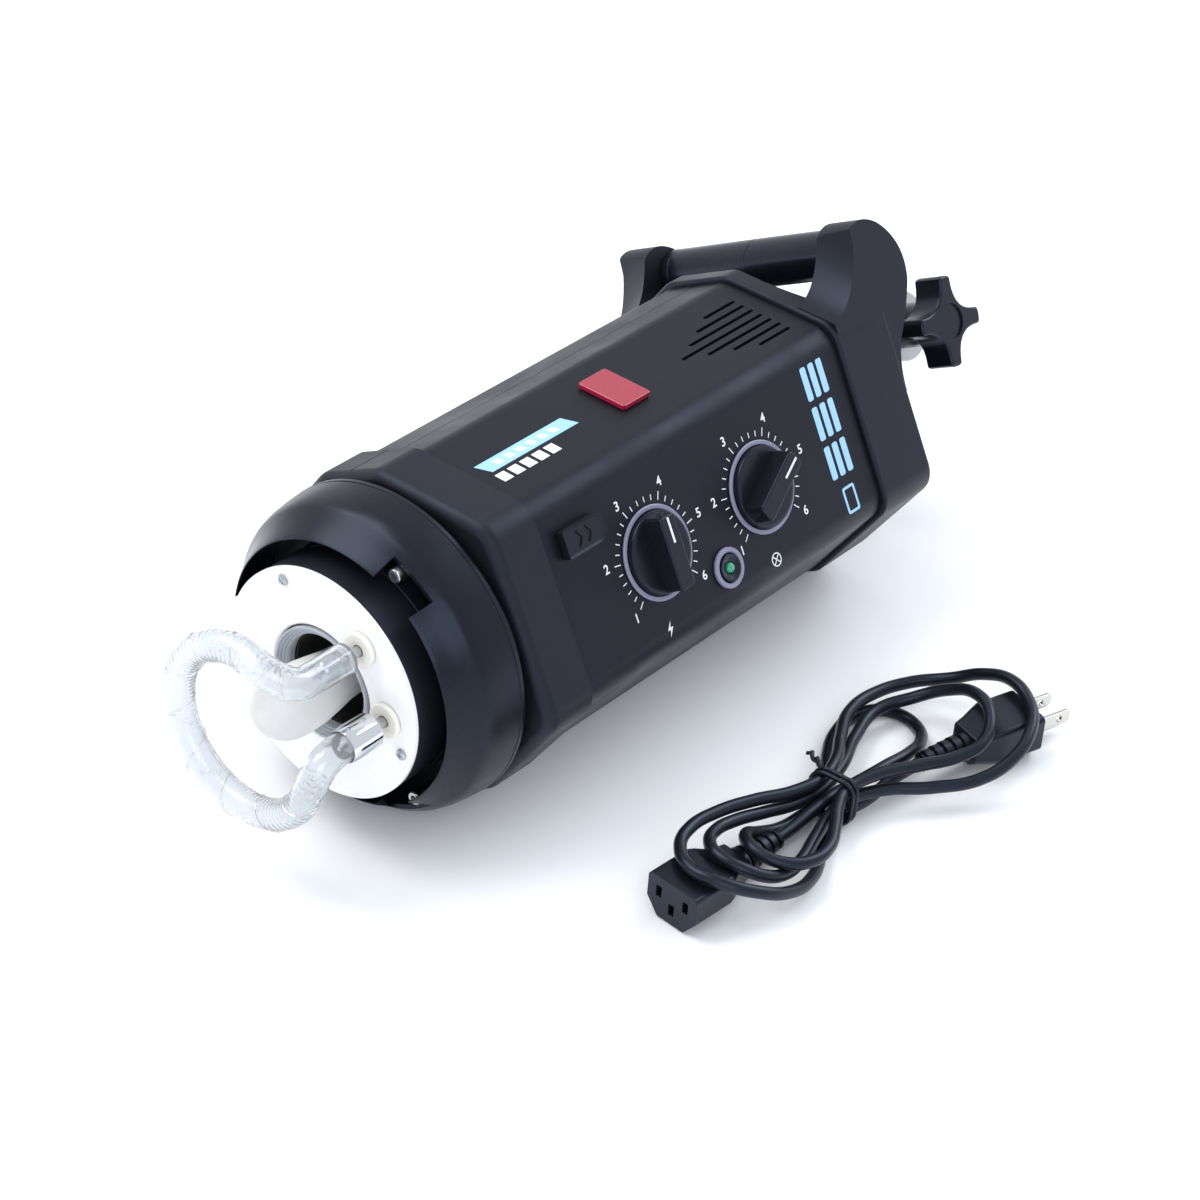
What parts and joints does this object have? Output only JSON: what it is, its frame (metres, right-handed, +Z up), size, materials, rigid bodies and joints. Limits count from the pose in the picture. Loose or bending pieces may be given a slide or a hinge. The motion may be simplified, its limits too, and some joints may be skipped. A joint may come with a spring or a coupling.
{
  "type": "studio flash head",
  "caption": "Monolight studio strobe lying on its side: ring flash tube, modelling lamp, accessory ring, dials, carry handle, tilting stand socket and tied mains cord.",
  "frame": {"origin": "the surface the lamp lies on, under the middle of the lamp's own box (its mains cord not counted)", "axes": "+X along the lamp axis towards the flash tube, +Z up from the surface, +Y towards the side the control panel leans to; the lamp is rolled 28 degrees about X from upright"},
  "size_m": [0.4216, 0.2875, 0.1706],
  "materials": {
    "cover_coat": "fine-textured black paint on sheet metal",
    "moulded_black": "black moulded plastic with a fine spark-eroded grain",
    "ring_coat": "satin black powder coat",
    "knob_black": "smooth black plastic, half gloss",
    "white_enamel": "white enamel on a steel plate",
    "seal_grey": "pale grey heat-resistant moulding, ribbed",
    "dial_lavender": "lavender grey moulded ring",
    "window_red": "deep red translucent plastic",
    "led_green": "green lens",
    "flash_glass": "clear quartz tube",
    "lamp_frost": "frosted glass bulb with a metal cap",
    "trigger_chrome": "polished",
    "zinc_steel": "zinc plated",
    "pin_aluminium": "turned",
    "white_ceramic": "unglazed",
    "board_green": "glass-fibre circuit board",
    "sleeve_blue": "shrink sleeve",
    "cord_pvc": "smooth black flexible PVC",
    "blade_nickel": "nickel plated"
  },
  "bodies": {
    "housing": {"bracket_lugs": "ring_coat", "button_ring": "dial_lavender", "chassis_tray": "pin_aluminium", "cord_tie": "knob_black", "flash_capacitor_1": "sleeve_blue", "flash_capacitor_2": "sleeve_blue", "flash_tube": "flash_glass", "friction_washer": "pin_aluminium", "front_bezel": "moulded_black", "fuse_cap": "knob_black", "handle_bar": "knob_black", "lamp_cup": "zinc_steel", "lamp_drum": "ring_coat", "lamp_pot": "zinc_steel", "lamp_ring": "dial_lavender", "lamp_seal_ring": "seal_grey", "lamp_socket": "white_ceramic", "left_cover": "cover_coat", "lock_collar": "ring_coat", "main_board": "board_green", "mains_connector": "cord_pvc", "mains_cord": "cord_pvc", "mains_inlet": "knob_black", "mains_plug": "cord_pvc", "modelling_lamp": "lamp_frost", "mount_ring": "ring_coat", "plate_screw_1": "zinc_steel", "plate_screw_2": "zinc_steel", "plate_screw_3": "zinc_steel", "plug_blade_line": "blade_nickel", "plug_blade_neutral": "blade_nickel", "plug_pin_earth": "blade_nickel", "power_pot": "zinc_steel", "power_ring": "dial_lavender", "rear_casting": "moulded_black", "rear_panel": "ring_coat", "reflector_plate": "white_enamel", "right_cover": "cover_coat", "ring_stop_screw_1": "zinc_steel", "ring_stop_screw_2": "zinc_steel", "ring_stop_screw_3": "zinc_steel", "slave_window": "window_red", "switch_frame": "knob_black", "sync_socket": "zinc_steel", "tilt_bolt": "zinc_steel", "trigger_sleeve": "trigger_chrome", "trigger_transformer": "sleeve_blue", "tube_pin_lower": "pin_aluminium", "tube_pin_upper": "pin_aluminium", "tube_socket_lower": "white_ceramic", "tube_socket_upper": "white_ceramic"},
    "power_dial_body": {"power_dial": "knob_black"},
    "lamp_dial_body": {"lamp_dial": "knob_black"},
    "test_button_body": {"test_button": "knob_black", "ready_lamp": "led_green"},
    "release_slide_body": {"release_slide": "moulded_black"},
    "power_rocker_body": {"power_rocker": "knob_black"},
    "tilt_socket": {"stand_socket": "ring_coat"},
    "stand_screw_body": {"stand_screw": "moulded_black"},
    "tilt_knob": {"star_knob": "moulded_black"}
  },
  "joints": [
    {"name": "power_turn", "type": "hinge", "parent": "housing", "child": "power_dial_body", "pos_m": [0.0319, 0.06937, 0.09931], "axis": [0, 0.8829, 0.4695], "range_deg": [-133, 133]},
    {"name": "lamp_turn", "type": "hinge", "parent": "housing", "child": "lamp_dial_body", "pos_m": [-0.0361, 0.06937, 0.09931], "axis": [0, 0.8829, 0.4695], "range_deg": [-73, 193]},
    {"name": "test_press", "type": "slide", "parent": "housing", "child": "test_button_body", "axis": [0, -0.8829, -0.4695], "range_m": [0, 0.0015], "stiffness_N_per_m": 600},
    {"name": "release_pull", "type": "slide", "parent": "housing", "child": "release_slide_body", "axis": [-1, 0, 0], "range_m": [0, 0.006], "stiffness_N_per_m": 300},
    {"name": "power_rock", "type": "hinge", "parent": "housing", "child": "power_rocker_body", "pos_m": [-0.1343, 0.027, 0.04586], "axis": [0, -0.4695, 0.8829], "range_deg": [0, 16]},
    {"name": "head_tilt", "type": "hinge", "parent": "housing", "child": "tilt_socket", "pos_m": [-0.1903, 0.0024, 0.08148], "axis": [0, 0.8829, 0.4695], "range_deg": [-25, 90]},
    {"name": "stand_screw_turn", "type": "hinge", "parent": "tilt_socket", "child": "stand_screw_body", "pos_m": [-0.1903, 0.00327, 0.02871], "axis": [0, 0.8829, 0.4695], "range_deg": [0, 360]},
    {"name": "knob_turn", "type": "hinge", "parent": "housing", "child": "tilt_knob", "pos_m": [-0.1903, 0.04213, 0.10261], "axis": [0, 0.8829, 0.4695], "range_deg": [0, 360]}
  ]
}
